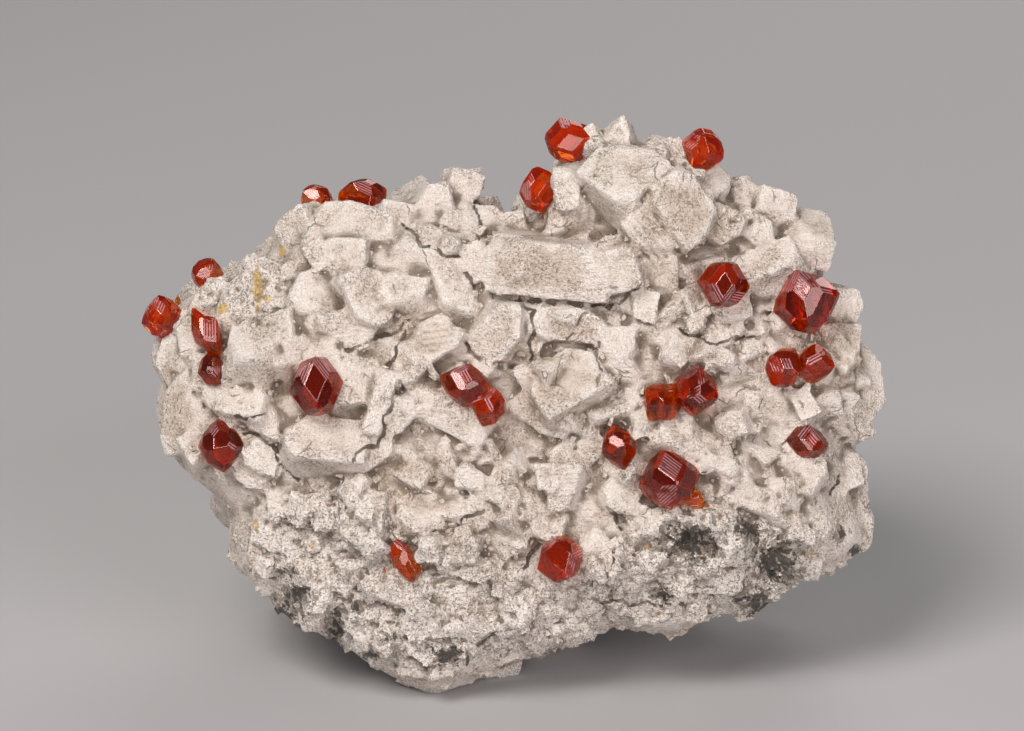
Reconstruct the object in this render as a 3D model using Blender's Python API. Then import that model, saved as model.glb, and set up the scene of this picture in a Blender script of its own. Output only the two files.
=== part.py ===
"""Spessartine garnet crystals on a matrix of blocky white feldspar: a loose hand specimen.

The matrix is one solid, a rough lump with feldspar crystals grown together all over it. Each
garnet, or group of garnets grown into each other, is a solid of its own in a socket of the
matrix. The tables hold millimetres and degrees, and the meshes are in metres.

Places are read on the display face as someone sees it from VIEW_DISTANCE in front of it: across
to the right and up from the middle of the face, and out towards the viewer.
"""

import itertools
import math
import random
from collections import namedtuple

import bmesh
import bpy
from mathutils import Euler, Matrix, Vector

MM = 0.001
VIEW_DISTANCE = 480.0  # from which the places on the face are read
FACE_LEAN = 18.0  # the display face leans back from upright by this
FACE_MIDDLE = (-0.3, -7.7, 39.0)  # where the middle of the face stands above the floor
SOCKET_GAP = 0.33  # between a garnet and the matrix round it
FLOOR_BLOCK = 200 * MM  # the side of the block below the floor that cuts the feet flat
SPECIMEN_SEED = 7

# The rim of the specimen where the display face turns away to the back, clockwise from the left.
RIM = (
    (-44.9, 3.0), (-42.4, 6.9), (-40.8, 8.3), (-37.8, 10.7), (-34.8, 12.7), (-32.1, 13.4),
    (-30.5, 15.1), (-29.5, 18.0), (-27.2, 19.3), (-24.4, 20.6), (-22.4, 20.9), (-19.0, 20.7),
    (-16.6, 20.4), (-13.8, 20.9), (-11.5, 22.2), (-8.8, 22.1), (-6.4, 23.0), (-4.0, 20.2),
    (-1.2, 19.3), (0.2, 18.0), (2.6, 19.2), (5.6, 23.2), (6.2, 26.8), (8.3, 29.0), (11.2, 28.4),
    (15.2, 28.1), (18.2, 28.4), (22.2, 27.9), (24.8, 24.8), (27.4, 22.9), (30.2, 21.8),
    (32.8, 21.2), (35.6, 18.8), (38.6, 17.2), (39.8, 14.0), (38.8, 11.2), (40.6, 8.2),
    (42.2, 4.8), (44.8, 2.0), (46.2, -1.8), (45.2, -5.4), (42.8, -8.2), (42.2, -11.4),
    (43.2, -15.4), (44.2, -19.4), (44.4, -22.4), (42.2, -24.2), (38.6, -26.2), (34.8, -27.4),
    (32.8, -29.6), (29.6, -31.1), (24.6, -31.2), (21.0, -33.6), (17.6, -33.4), (12.6, -32.6),
    (9.0, -34.0), (5.6, -35.0), (2.8, -35.8), (-1.2, -37.4), (-5.0, -39.6), (-9.8, -41.2),
    (-13.4, -39.8), (-17.6, -37.4), (-21.0, -34.8), (-25.6, -32.6), (-29.4, -30.4),
    (-31.6, -27.6), (-34.4, -25.2), (-35.4, -22.6), (-35.2, -18.6), (-37.6, -15.8),
    (-41.2, -12.8), (-43.8, -9.4), (-44.6, -5.0), (-43.8, -1.8), (-45.2, 0.2),
)
RIM_CORE = Vector((-0.4, -4.5))  # the rim shrinks towards this point, in front and behind
# How far out each section of the lump lies, and its size as a share of the rim's.
SECTIONS = (
    (9.6, 0.45), (9.0, 0.68), (6.5, 0.88), (3.0, 0.965), (0.0, 1.0),
    (-7.0, 0.985), (-15.0, 0.94), (-23.0, 0.84), (-29.0, 0.66), (-32.0, 0.36),
)
WANDER = 0.8  # how far the points behind the rim are from their places
FULL_RIM_BEHIND = -10.0  # sections farther back have half the rim's points
RELIEF = 0.7  # the height of crystals and garnets above the lump, as a share of what the tables say

Block = namedtuple("Block", "across up out wide tall deep roll turn tip")
# The feldspar crystals of the display face. A place is the middle of a crystal's front face,
# which leans to the right by turn and up by tip, and roll turns it anticlockwise in the picture.
BLOCKS = {
    # the peak at the top right
    "peak_block": Block(13.9, 24.9, 14.5, 9.8, 9.4, 10.0, 45, 22, 22),
    "peak_knob": Block(12.9, 29.0, 8.0, 4.2, 4.4, 6.0, 18, -6, 12),
    "peak_lip": Block(9.2, 28.0, 11.0, 3.8, 4.2, 8.0, 25, -8, 10),
    "peak_flank": Block(6.6, 22.2, 11.5, 3.6, 6.4, 8.0, 8, -20, 4),
    "crest_ledge": Block(20.2, 26.4, 10.5, 8.6, 5.4, 9.0, -6, 12, 26),
    "crest_end": Block(25.2, 23.0, 8.5, 6.2, 5.4, 8.0, -40, 14, 20),
    "large_slab": Block(21.9, 19.8, 15.2, 9.4, 6.6, 7.0, -55, 6, 16),
    "ribbed_slab": Block(17.4, 16.6, 15.0, 7.4, 5.2, 7.0, -52, 3, 8),
    "slab_foot": Block(26.8, 17.4, 11.0, 5.0, 5.4, 6.0, -30, 10, 8),
    "long_shelf": Block(4.4, 11.8, 13.6, 16.2, 7.4, 9.0, -6, -7, -14),
    "shelf_corner": Block(-0.8, 13.2, 12.6, 5.0, 6.6, 7.0, -4, -28, 6),
    "hexagon_block": Block(12.4, 11.6, 14.8, 7.8, 6.4, 8.0, 14, -14, -10),
    "hexagon_cap": Block(13.0, 15.0, 13.6, 5.6, 3.4, 6.0, 4, 4, 28),
    "undercut_block": Block(18.4, 10.6, 11.8, 5.4, 6.6, 7.0, 6, 8, -18),
    "under_wedge": Block(17.6, 6.4, 10.4, 5.6, 4.2, 6.0, 38, 8, 20),
    "dark_niche_wall": Block(23.6, 11.4, 9.6, 5.2, 3.4, 5.0, 14, 4, -24),
    # the shoulder to the right of the peak
    "shoulder_knob": Block(29.6, 21.6, 5.4, 3.4, 3.8, 6.0, 12, 6, 12),
    "shoulder_block": Block(33.2, 19.8, 6.6, 5.4, 5.0, 7.0, -16, 8, 10),
    "shoulder_step": Block(30.6, 17.2, 8.8, 6.0, 4.0, 6.0, -34, 4, 4),
    "right_horn": Block(37.6, 13.8, 9.4, 6.0, 4.8, 9.0, -8, 10, -26),
    "right_ramp": Block(31.4, 13.2, 10.2, 9.6, 4.6, 6.0, 24, 2, 34),
    "ramp_underside": Block(33.2, 10.4, 9.4, 6.4, 4.6, 6.0, 30, 2, -22),
    "right_corner": Block(42.0, 7.4, 3.6, 4.4, 5.6, 7.0, -28, 16, 14),
    "right_cheek": Block(44.0, -1.4, 3.4, 6.0, 11.6, 10.0, 4, 26, 6),
    "right_brow": Block(41.4, 2.4, 6.4, 4.6, 6.6, 7.0, -8, 4, 16),
    "cheek_foot": Block(42.0, -7.0, 5.0, 4.6, 4.6, 7.0, 12, 14, -20),
    "right_splinter": Block(43.2, -14.6, 1.6, 3.8, 8.6, 8.0, 6, 26, -4),
    "right_heel": Block(43.4, -20.6, 1.0, 4.6, 6.2, 8.0, -6, 20, -8),
    # the upper left
    "horn": Block(-5.9, 21.8, 5.2, 5.0, 6.4, 7.0, -16, 10, 10),
    "horn_foot": Block(-3.2, 18.2, 7.0, 3.4, 4.4, 6.0, -6, 14, 6),
    "notch_step": Block(-0.4, 17.6, 7.6, 4.4, 3.8, 6.0, 10, -4, 18),
    "horn_neighbour": Block(-10.4, 19.8, 6.6, 6.0, 5.8, 8.0, 12, -10, 8),
    "white_ledge": Block(-8.8, 15.8, 9.6, 7.0, 3.6, 6.0, -24, 2, 32),
    "pillar": Block(-5.2, 12.8, 11.2, 4.6, 5.8, 7.0, 18, -16, 4),
    "crown": Block(-20.6, 17.4, 7.6, 11.4, 7.4, 9.0, 4, -4, 22),
    "crown_left": Block(-27.0, 16.2, 5.4, 5.8, 7.2, 9.0, 34, -26, 12),
    "crown_right": Block(-14.4, 18.2, 7.2, 5.2, 5.6, 8.0, -12, 6, 14),
    "grey_facet": Block(-12.2, 13.2, 9.6, 6.4, 4.4, 7.0, -26, -8, -26),
    "facet_foot": Block(-13.6, 9.6, 11.4, 6.4, 4.8, 7.0, -10, 2, 22),
    "side_lit_block": Block(-17.4, 8.8, 11.6, 6.8, 8.6, 8.0, 22, 22, 8),
    "upper_left_block": Block(-25.4, 9.4, 9.8, 6.8, 6.0, 8.0, 10, 4, 16),
    "lower_left_block": Block(-20.4, 4.4, 11.4, 6.8, 5.6, 7.0, 16, 4, -2),
    "striped_slab": Block(-7.2, 9.6, 10.8, 4.4, 8.0, 7.0, 16, 8, 4),
    "gravel_shoulder": Block(-32.6, 9.6, 6.8, 6.6, 5.4, 8.0, 20, -12, 22),
    "left_knee": Block(-38.0, 8.2, 4.8, 6.0, 4.6, 8.0, 30, -14, 22),
    # the middle
    "cleaved_block": Block(-10.4, 3.4, 12.4, 7.2, 5.4, 7.0, 24, -4, 16),
    "plate_ridge": Block(-10.2, 1.2, 13.0, 10.6, 1.8, 6.0, 42, -4, 20),
    "plate_triangle": Block(-7.4, 0.8, 11.4, 7.4, 3.6, 5.0, 30, 4, -24),
    "fold_block": Block(-2.4, 4.2, 12.8, 7.2, 7.4, 8.0, -4, -14, -6),
    "fold_side": Block(2.2, 4.6, 11.8, 3.8, 6.6, 7.0, -4, 16, -8),
    "step_lower": Block(-8.0, -6.6, 11.8, 11.4, 3.8, 5.0, -28, -2, -8),
    "step_upper": Block(-8.2, -2.8, 11.0, 9.2, 3.4, 5.0, -22, -2, 22),
    "cracked_hexagon": Block(8.4, 4.9, 11.6, 6.4, 4.2, 6.0, -6, 2, -4),
    "fan_block": Block(6.8, -1.6, 14.2, 10.6, 8.0, 8.0, 30, 6, 24),
    "fan_side": Block(3.8, -6.0, 12.2, 8.6, 5.2, 8.0, -42, -12, -22),
    "door_block": Block(13.2, 2.4, 12.0, 5.6, 6.0, 7.0, 2, 10, 6),
    "door_sill": Block(13.8, -1.8, 10.6, 5.6, 4.4, 6.0, -4, 4, -24),
    "small_stone_left": Block(6.0, -10.6, 11.4, 3.6, 3.4, 5.0, 4, -6, 4),
    "small_stone_right": Block(9.8, -10.4, 11.2, 3.0, 4.2, 5.0, 8, 6, -6),
    "middle_shelf": Block(12.6, -4.6, 11.6, 7.4, 3.6, 6.0, 12, 4, 26),
    "crossing_block": Block(20.2, 3.8, 10.6, 6.4, 4.6, 6.0, -14, 6, 8),
    "crossing_lower": Block(26.4, 4.2, 10.2, 6.6, 4.4, 6.0, 22, 4, 18),
    "crossing_foot": Block(22.6, 0.2, 10.0, 6.4, 4.0, 6.0, -30, 4, -10),
    # the left
    "left_brick": Block(-32.2, 3.2, 13.2, 7.4, 6.0, 7.0, -4, -4, 42),
    "brick_tail": Block(-27.6, 1.8, 11.6, 5.0, 5.6, 7.0, -24, 8, 28),
    "lower_brick": Block(-34.0, -4.4, 11.2, 7.0, 4.2, 6.0, -12, -22, 20),
    "edge_shield": Block(-42.2, -6.2, 5.2, 6.6, 9.8, 9.0, 16, -32, 4),
    "shield_foot": Block(-39.4, -9.8, 7.4, 4.2, 4.6, 7.0, 30, 10, 14),
    "left_lump": Block(-42.6, 0.8, 3.6, 5.0, 5.0, 7.0, 32, -22, 6),
    "left_rise": Block(-40.6, 4.0, 7.0, 5.6, 5.0, 8.0, 32, -10, 16),
    "niche_back": Block(-37.4, -0.6, 6.8, 5.0, 5.0, 6.0, 0, 6, -10),
    "wedge_stone": Block(-31.2, -11.4, 9.8, 4.8, 5.0, 6.0, -12, 4, 6),
    "large_wedge": Block(-23.2, -9.0, 13.0, 11.6, 6.6, 9.0, -6, 2, 26),
    "wedge_left": Block(-30.4, -7.0, 10.4, 4.6, 4.0, 6.0, -26, -6, 4),
    "garnet_seat": Block(-19.8, -2.2, 11.6, 6.6, 7.4, 8.0, -16, 10, 10),
    "crack_blade": Block(-16.4, -4.6, 13.0, 2.8, 9.4, 7.0, -18, 6, 4),
    "blade_foot": Block(-17.2, -9.8, 11.8, 5.2, 5.0, 7.0, 34, 12, -4),
    # the lower half
    "lower_left_slab": Block(-20.2, -18.8, 11.4, 8.6, 7.4, 8.0, -6, -14, 10),
    "slab_shoulder": Block(-15.8, -18.4, 10.4, 3.4, 7.4, 7.0, 10, 22, -4),
    "lower_left_crest": Block(-26.8, -16.2, 8.6, 8.4, 5.0, 8.0, 12, -10, 20),
    "lower_left_edge": Block(-31.8, -21.8, 4.6, 6.4, 6.2, 9.0, -28, -18, -4),
    "white_cushion": Block(-12.0, -18.4, 11.2, 6.4, 5.4, 7.0, 10, 2, 14),
    "striated_block": Block(-8.2, -24.4, 12.2, 7.4, 5.4, 8.0, 14, -4, -22),
    "striated_side": Block(-3.8, -24.0, 10.8, 3.6, 6.4, 7.0, 26, 22, 2),
    "dimple_block": Block(-1.4, -21.4, 11.0, 6.0, 6.0, 7.0, 32, -20, -8),
    "diagonal_plate": Block(-2.6, -15.4, 12.4, 9.6, 2.4, 6.0, -33, 4, 16),
    "plate_floor": Block(-5.2, -16.4, 10.6, 6.6, 4.4, 6.0, -30, -4, -12),
    "gable_block": Block(7.0, -15.2, 12.6, 6.4, 6.6, 7.0, 10, -6, -6),
    "gable_foot": Block(3.6, -19.2, 11.0, 6.6, 4.8, 7.0, -16, 2, 16),
    "pale_block": Block(10.8, -23.2, 11.0, 5.6, 6.6, 7.0, -6, -6, 10),
    "grey_wedge": Block(14.8, -25.6, 9.2, 5.0, 6.0, 7.0, 12, 6, -22),
    "right_middle": Block(13.6, -16.4, 11.4, 5.6, 5.6, 7.0, -20, 2, 6),
    "arched_ridge": Block(23.6, -9.9, 12.0, 13.0, 4.4, 7.0, -27, 2, 32),
    "arch_underside": Block(26.4, -13.4, 10.6, 7.6, 3.8, 6.0, -28, 2, -24),
    "white_swell": Block(30.0, -15.6, 9.8, 8.2, 5.0, 7.0, -20, 6, 18),
    "front_ledge": Block(23.4, -18.2, 11.4, 9.6, 3.2, 6.0, -8, 0, 42),
    "ledge_underside": Block(22.4, -21.6, 9.4, 9.0, 5.0, 7.0, -4, 0, -18),
    "right_ledge": Block(35.0, -18.8, 8.8, 5.0, 3.6, 6.0, -26, 4, 30),
    "right_white_lump": Block(36.2, -12.8, 8.0, 6.6, 5.4, 7.0, 14, 6, 10),
    "right_underside": Block(32.6, -22.4, 6.8, 8.2, 5.4, 8.0, -12, 4, -22),
    "lower_plate": Block(24.2, -26.4, 8.2, 10.0, 5.0, 8.0, -4, 2, -16),
    "bottom_slab": Block(19.6, -30.6, 5.8, 9.6, 4.2, 8.0, 3, 2, -20),
    "bottom_right_slab": Block(29.0, -28.6, 5.2, 7.8, 3.8, 8.0, 16, 8, -24),
    "bottom_middle": Block(6.0, -32.6, 6.2, 9.2, 4.6, 8.0, 12, -2, -22),
    "bottom_swell": Block(-2.6, -31.0, 9.0, 9.6, 5.6, 8.0, 8, -2, -4),
    "bottom_tip": Block(-10.0, -36.6, 5.2, 8.6, 6.2, 9.0, -8, 0, -16),
    "bottom_left": Block(-18.4, -31.6, 6.8, 9.0, 6.6, 9.0, -34, -10, -16),
    "granular_bank": Block(-14.4, -27.4, 10.8, 8.4, 5.2, 8.0, -20, -6, 10),
    "left_bank": Block(-25.6, -24.8, 7.2, 8.4, 5.6, 8.0, -32, -14, -6),
}
SIDE_SETBACK = 0.055  # how far the crystals of the sides stay inside the rim, as a share of it
BACK_RELIEF = 1.2  # how far the crystals of the back stand out of the lump
BLOCK_CHIPS = 3  # corners broken off each crystal
CHIP_DEPTHS = (0.1, 0.3)  # how deep a corner is broken off, as a share of the crystal's size
# The feet stand hidden behind the lower rim, and the floor cuts them flat.
FEET = {
    "front_foot": Block(-10.0, -38.6, 3.0, 7.0, 6.0, 8.0, 0, 0, -30),
    "back_left_foot": Block(-24.0, -30.0, -20.0, 9.0, 9.0, 9.0, 20, 0, -10),
    "back_right_foot": Block(19.0, -29.0, -20.0, 9.0, 9.0, 9.0, -15, 0, -10),
}
CHIP_DIRECTIONS = (0.3, 1.0)  # how far a chip faces each side, before it leans to the front
SLIVERS_KEPT = 0.66  # the share of the matrix's triangles that stays when its slivers are closed up

Scatter = namedtuple("Scatter", "out_range size_range deep")
# The small crystals that fill the display face stand in rows, this far above the lump.
FACE_SPACING = 6.4
FACE_STRAY = 2.0  # how far each stands from its place in the row
FACE_REACH = 0.93  # they stay inside this share of the rim
ON_THE_FACE = Scatter((0.6, 1.8), (3.0, 5.4), 5.0)
SIDE_CRYSTALS = 28
ROUND_THE_SIDES = Scatter((-16.0, -3.0), (7.0, 11.0), 8.0)
BACK_CRYSTALS = 34
OVER_THE_BACK = Scatter((-32.0, -17.0), (8.0, 14.0), 9.0)
BACK_ROUNDING = 60.0  # crystals this far from the core of the rim look 45 degrees away from the back

Garnet = namedtuple("Garnet", "across up out wide tall deep roll spin")
# Each garnet's middle, size and tilt, and how its crystal axes are turned. Two in a row have
# grown into each other.
GARNETS = {
    "garnet_far_left": [Garnet(-43.8, 6.0, 2.8, 5.0, 5.6, 5.0, 0, (20, 5, 12))],
    "garnet_left_shoulder": [Garnet(-38.1, 11.3, 1.0, 4.1, 4.3, 4.2, 0, (35, 50, 10))],
    "garnet_left_pair": [
        Garnet(-38.2, 4.2, 9.4, 3.7, 6.8, 3.8, 24, (10, 70, 25)),
        Garnet(-37.6, -0.5, 9.0, 3.4, 4.4, 3.6, 8, (60, 20, 5)),
    ],
    "garnet_left_centre": [Garnet(-24.5, -2.6, 13.2, 6.7, 7.3, 6.4, 0, (38, 6, 8))],
    "garnet_lower_left": [Garnet(-36.4, -10.0, 8.6, 5.7, 6.7, 5.8, 0, (5, -12, 6))],
    "garnet_crest_small": [Garnet(-24.4, 20.7, -0.6, 4.2, 3.8, 4.0, -28, (25, 40, 0))],
    "garnet_crest_left": [Garnet(-18.8, 20.3, -0.2, 6.3, 6.2, 5.6, 0, (40, 5, 30))],
    "garnet_centre_pair": [
        Garnet(-5.7, -2.5, 13.0, 6.9, 5.3, 5.4, -22, (14, -4, 6)),
        Garnet(-2.9, -5.2, 13.6, 4.5, 5.0, 4.6, -20, (8, 16, 4)),
    ],
    "garnet_notch": [Garnet(3.4, 21.9, 7.0, 4.9, 5.8, 5.0, -6, (30, 60, 45))],
    "garnet_peak_left": [Garnet(7.2, 28.0, 5.4, 6.2, 6.0, 5.8, 0, (5, 45, 20))],
    "garnet_peak_right": [Garnet(23.9, 27.0, 7.6, 4.8, 5.3, 4.8, 20, (65, 25, 35))],
    "garnet_upper_right": [Garnet(26.4, 10.1, 12.4, 6.5, 5.6, 5.4, -8, (42, 0, 4))],
    "garnet_large_right": [Garnet(36.8, 7.9, 9.6, 8.1, 7.9, 7.6, 0, (24, -10, 12))],
    "garnet_right_twins": [
        Garnet(34.0, -0.3, 10.2, 4.7, 4.9, 4.6, 0, (35, 15, 55)),
        Garnet(37.8, 0.2, 10.0, 4.9, 5.0, 4.7, 0, (15, 65, 5)),
    ],
    "garnet_right_pair": [
        Garnet(22.9, -3.2, 12.8, 5.7, 6.3, 5.4, -10, (22, -24, -8)),
        Garnet(18.6, -4.6, 12.2, 4.0, 4.7, 4.2, 0, (4, 8, 50)),
    ],
    "garnet_middle": [Garnet(13.4, -10.2, 12.4, 4.5, 5.9, 4.4, 16, (0, 18, 0))],
    "garnet_large_lower": [
        Garnet(19.7, -14.3, 13.4, 7.6, 7.4, 7.0, 0, (12, 8, 10)),
        Garnet(22.7, -16.6, 12.2, 2.2, 3.2, 2.2, 30, (10, 35, 20)),
    ],
    "garnet_lower_right": [Garnet(36.9, -9.6, 7.4, 5.0, 3.9, 4.2, -28, (30, 10, 25))],
    "garnet_bottom": [Garnet(6.0, -24.2, 12.4, 5.6, 5.8, 5.2, 0, (44, 8, 20))],
    "garnet_sliver": [Garnet(-13.4, -24.4, 11.6, 2.8, 5.6, 2.8, 28, (20, 30, 70))],
}
RHOMB_REACH = 0.945  # how far a crystal's rhombic faces stand from its middle, for a radius of 1
KITE_REACH = 0.96  # and its kite-shaped faces, which cut off the edges between them
UNEVEN_GROWTH = 0.06
CRYSTAL_BLANK = 2.6  # the cube that a garnet's faces are cut from, for a radius of 1
SAME_DIRECTION = 0.999  # the cosine above which two faces are one

FELDSPAR = ("feldspar", (0.80, 0.77, 0.73), 0.9)
SPESSARTINE = ("spessartine", (0.62, 0.06, 0.02), 0.12)


def clear_scene():
    for thing in list(bpy.data.objects):
        bpy.data.objects.remove(thing, do_unlink=True)


def make_material(name, colour, roughness):
    material = bpy.data.materials.new(name)
    material.use_nodes = True
    shader = material.node_tree.nodes["Principled BSDF"]
    shader.inputs["Base Color"].default_value = (*colour, 1)
    shader.inputs["Roughness"].default_value = roughness
    shader.inputs["Metallic"].default_value = 0
    material.diffuse_color = (*colour, 1)
    return material


def add_shape(name, shape, material=None):
    """A named object from a shape in metres."""
    bmesh.ops.recalc_face_normals(shape, faces=shape.faces)
    mesh = bpy.data.meshes.new(name)
    shape.to_mesh(mesh)
    shape.free()
    if material:
        mesh.materials.append(material)
    thing = bpy.data.objects.new(name, mesh)
    bpy.context.scene.collection.objects.link(thing)
    return thing


def add_object(name, shape, material=None):
    """A named object from a shape in millimetres of the display face, stood as it rests."""
    lean = Matrix.Rotation(math.radians(90 - FACE_LEAN), 4, "X")
    shape.transform(Matrix.Scale(MM, 4) @ Matrix.Translation(FACE_MIDDLE) @ lean)
    return add_shape(name, shape, material)


def apply_modifiers(thing):
    evaluated = thing.evaluated_get(bpy.context.evaluated_depsgraph_get())
    finished = bpy.data.meshes.new_from_object(evaluated)
    thing.modifiers.clear()
    thing.data = finished


def combine(target, other, operation, overlaps_itself=False):
    """The exact Boolean of two objects, left in the first. The second is used up."""
    modifier = target.modifiers.new(operation.lower(), "BOOLEAN")
    modifier.operation = operation
    modifier.solver = "EXACT"
    modifier.use_self = overlaps_itself
    modifier.object = other
    apply_modifiers(target)
    bpy.data.objects.remove(other, do_unlink=True)


def close_slivers(thing):
    """Close up the thin triangles that a Boolean leaves."""
    modifier = thing.modifiers.new("slivers", "DECIMATE")
    modifier.ratio = SLIVERS_KEPT
    modifier.use_collapse_triangulate = True
    apply_modifiers(thing)


def add_to(shape, other):
    """Put a second shape into the first."""
    holder = bpy.data.meshes.new("holder")
    other.to_mesh(holder)
    other.free()
    shape.from_mesh(holder)
    bpy.data.meshes.remove(holder)


def cut_away(shape, point, normal):
    """Cut a convex shape with a plane and close it again, without the side the normal points to."""
    everything = shape.verts[:] + shape.edges[:] + shape.faces[:]
    bmesh.ops.bisect_plane(shape, geom=everything, plane_co=point, plane_no=normal, clear_outer=True)
    bmesh.ops.holes_fill(shape, edges=shape.edges)


def nearer_place(across, up, out):
    """Where a point that is seen at this place of the face stands. Nearer things look larger."""
    nearer = 1 - out / VIEW_DISTANCE
    return Vector((across * nearer, up * nearer, out))


def make_lump(rng):
    """The rough body of the matrix, which is the rim drawn in to the front and to the back."""
    lump = bmesh.new()
    rings = []
    for out, share in SECTIONS:
        wander = WANDER if out < 0 else 0
        places = RIM if out > FULL_RIM_BEHIND else RIM[::2]
        ring = []
        for place in places:
            across, up = RIM_CORE + (Vector(place) - RIM_CORE) * share
            astray = Vector([rng.uniform(-wander, wander) for _ in range(3)])
            ring.append(lump.verts.new(nearer_place(across, up, out) + astray))
        rings.append([lump.edges.new((ring[i - 1], ring[i])) for i in range(len(ring))])
    for front, back in zip(rings, rings[1:]):
        bmesh.ops.bridge_loops(lump, edges=front + back)
    bmesh.ops.holes_fill(lump, edges=rings[0] + rings[-1])
    bmesh.ops.triangulate(lump, faces=lump.faces)
    return lump


def make_crystal_block(rng, wide, tall, deep):
    """A feldspar crystal with broken corners. The middle of its front face is at the origin."""
    block = bmesh.new()
    bmesh.ops.create_cube(block, size=1)
    bmesh.ops.scale(block, vec=(wide, tall, deep), verts=block.verts)
    bmesh.ops.translate(block, vec=(0, 0, -deep / 2), verts=block.verts)
    taper = rng.uniform(0.0, 0.16)
    for vert in block.verts:
        if vert.co.z > -deep / 2:
            vert.co.x *= 1 - taper
            vert.co.y *= 1 - taper
    for _ in range(BLOCK_CHIPS):
        across = rng.choice((-1, 1)) * rng.uniform(*CHIP_DIRECTIONS)
        up = rng.choice((-1, 1)) * rng.uniform(*CHIP_DIRECTIONS)
        side = Vector((across, up, 0))
        normal = (side.normalized() + Vector((0, 0, rng.uniform(0.0, 0.9)))).normalized()
        corner = max(vert.co.dot(normal) for vert in block.verts)
        depth = rng.uniform(*CHIP_DEPTHS) * min(wide, tall)
        cut_away(block, normal * (corner - depth), normal)
    return block


def lump_share(out):
    """The size of the lump's section at this depth, as a share of the rim's."""
    for (front, front_share), (back, back_share) in zip(SECTIONS, SECTIONS[1:]):
        if back <= out <= front:
            return front_share + (back_share - front_share) * (front - out) / (front - back)
    return 0


def lump_front(share):
    """How far out the front of the lump is, at this share of the way from its core to the rim."""
    for (front, front_share), (back, back_share) in zip(SECTIONS, SECTIONS[1:]):
        if front_share <= share <= back_share:
            return front + (back - front) * (share - front_share) / (back_share - front_share)
    return SECTIONS[0][0]


def rim_share(place):
    """How far a place of the face is from the core, as a share of the way to the rim."""
    away = place - RIM_CORE
    for start, end in zip(RIM, (*RIM[1:], RIM[0])):
        from_core = Vector(start) - RIM_CORE
        edge = Vector(end) - Vector(start)
        crossing = away.cross(edge)
        reach = from_core.cross(edge) / crossing
        if reach > 0 and 0 <= from_core.cross(away) / crossing <= 1:
            return 1 / reach
    return 1


def place_above_lump(piece):
    """Where a crystal or garnet of the tables stands. It lies nearer the lump than they say."""
    front = lump_front(rim_share(Vector((piece.across, piece.up))))
    above = max(piece.out - front, 0)
    return nearer_place(piece.across, piece.up, piece.out - above * (1 - RELIEF))


def make_front_crystals(rng):
    """The crystals of the display face, each at its own place in the table."""
    crystals = bmesh.new()
    for block in (*BLOCKS.values(), *FEET.values()):
        shape = make_crystal_block(rng, block.wide, block.tall, block.deep)
        angles = (math.radians(-block.tip), math.radians(block.turn), math.radians(block.roll))
        place = Matrix.Translation(place_above_lump(block))
        shape.transform(place @ Euler(angles).to_matrix().to_4x4())
        add_to(crystals, shape)
    return crystals


def scattered_block(rng, scatter, place, outward):
    """One crystal of those that lie at random, which looks outward from its place."""
    wide = rng.uniform(*scatter.size_range)
    tall = rng.uniform(*scatter.size_range)
    shape = make_crystal_block(rng, wide, tall, scatter.deep)
    spin = Matrix.Rotation(rng.uniform(0, math.tau), 4, "Z")
    facing = outward.to_track_quat("Z", "Y").to_matrix().to_4x4()
    shape.transform(Matrix.Translation(place) @ facing @ spin)
    return shape


def on_a_front_crystal(place):
    """Whether a place of the face is taken by one of the crystals in the table."""
    return any(
        (place - Vector((block.across, block.up))).length < min(block.wide, block.tall) / 2
        for block in BLOCKS.values()
    )


def add_face_crystals(crystals, rng):
    """Small crystals between the large ones of the display face, in uneven rows."""
    for row in range(-7, 6):
        for number in range(-7, 8):
            place = Vector((number + row % 2 / 2, row)) * FACE_SPACING
            astray = [rng.uniform(-FACE_STRAY, FACE_STRAY) for _ in range(2)]
            place += Vector(astray)
            share = rim_share(place)
            if share < FACE_REACH and not on_a_front_crystal(place):
                out = lump_front(share) + rng.uniform(*ON_THE_FACE.out_range)
                outward = Vector((rng.uniform(-0.5, 0.5), rng.uniform(-0.4, 0.6), 1))
                shape = scattered_block(rng, ON_THE_FACE, nearer_place(*place, out), outward)
                add_to(crystals, shape)


def add_side_crystals(crystals, rng):
    """Crystals round the sides, which stand out less than the rim as it is seen from the front."""
    for number in range(SIDE_CRYSTALS):
        out = rng.uniform(*ROUND_THE_SIDES.out_range)
        rim_place = Vector(RIM[int(number * len(RIM) / SIDE_CRYSTALS)])
        away = rim_place - RIM_CORE
        across, up = RIM_CORE + away * (lump_share(out) - SIDE_SETBACK)
        outward = Vector((*away.normalized(), rng.uniform(-0.5, 0.1)))
        place = nearer_place(across, up, out)
        add_to(crystals, scattered_block(rng, ROUND_THE_SIDES, place, outward))


def add_back_crystals(crystals, rng):
    """Crystals over the back, each at the depth of the lump there."""
    nearest, farthest = OVER_THE_BACK.out_range[1], OVER_THE_BACK.out_range[0]
    for number in range(BACK_CRYSTALS):
        out = nearest + (farthest - nearest) * number / BACK_CRYSTALS
        away = Vector(rng.choice(RIM)) - RIM_CORE
        across, up = RIM_CORE + away * lump_share(out)
        lean = rng.uniform(-0.25, 0.25)
        outward = Vector((away.x / BACK_ROUNDING + lean, away.y / BACK_ROUNDING - lean, -1))
        place = nearer_place(across, up, out - BACK_RELIEF)
        add_to(crystals, scattered_block(rng, OVER_THE_BACK, place, outward))


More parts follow.
